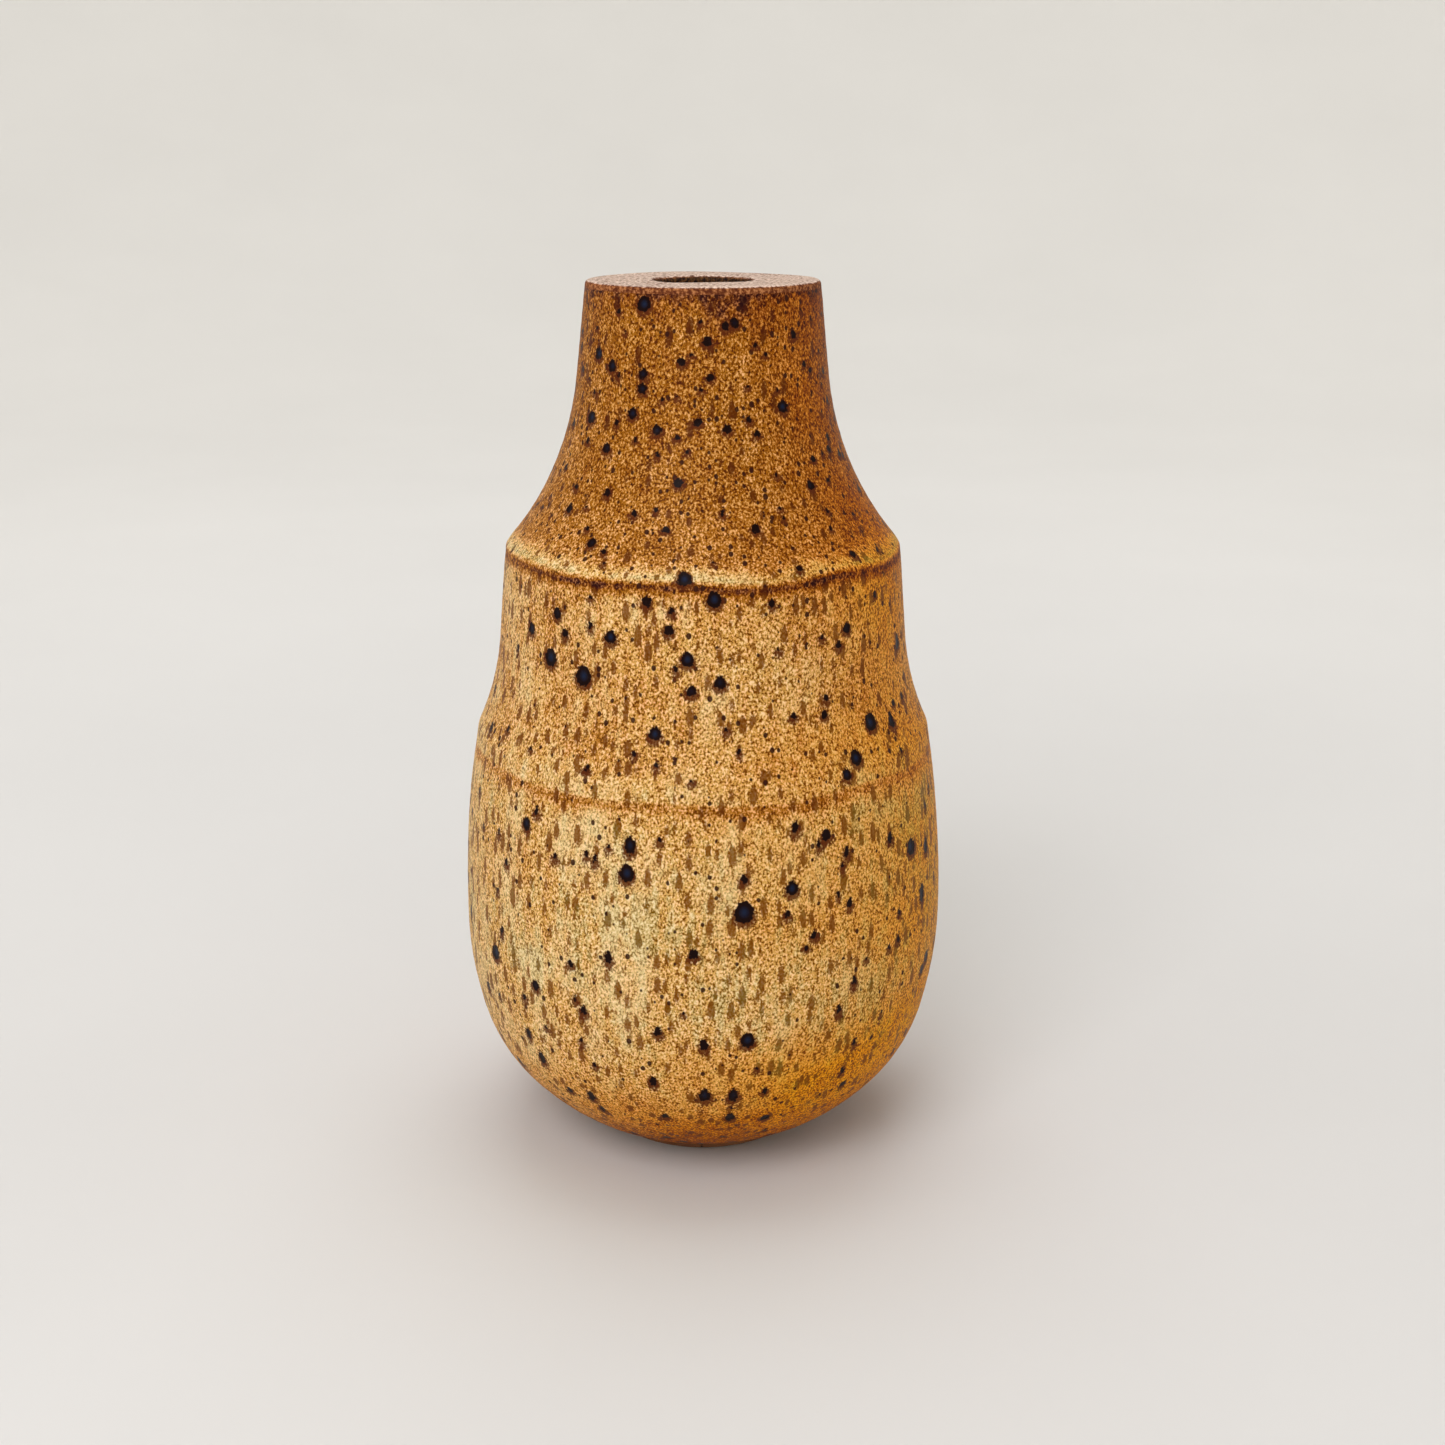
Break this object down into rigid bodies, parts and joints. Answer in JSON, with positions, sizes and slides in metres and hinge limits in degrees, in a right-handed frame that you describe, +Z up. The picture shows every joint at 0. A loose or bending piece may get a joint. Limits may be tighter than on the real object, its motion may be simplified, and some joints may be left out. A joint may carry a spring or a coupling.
{
  "type": "bud vase",
  "caption": "Pear-shaped ceramic bud vase with a flat closed-in rim round a small mouth, a shoulder ridge, a hip ridge and a trimmed foot.",
  "frame": {"origin": "centre of the foot ring's underside, on the table", "axes": "+Z up along the vase's axis of revolution, from the foot to the mouth; X and Y are equivalent"},
  "size_m": [0.0926, 0.0926, 0.165],
  "materials": {
    "clay": "bare fired stoneware, matte",
    "belly_glaze": "satin speckled cream-tan glaze",
    "waist_glaze": "satin speckled golden-tan glaze",
    "neck_glaze": "satin speckled golden-brown glaze",
    "rim_glaze": "thin dry pinkish-beige wash",
    "liner_glaze": "brown liner glaze"
  },
  "bodies": {
    "root": {"foot_ring": "clay", "base_bowl": "clay", "waist_band": "clay", "neck_cone": "clay", "rim_disc": "clay", "belly_glaze": "belly_glaze", "waist_glaze": "waist_glaze", "neck_glaze": "neck_glaze", "rim_glaze": "rim_glaze", "liner_glaze": "liner_glaze"}
  },
  "joints": []
}
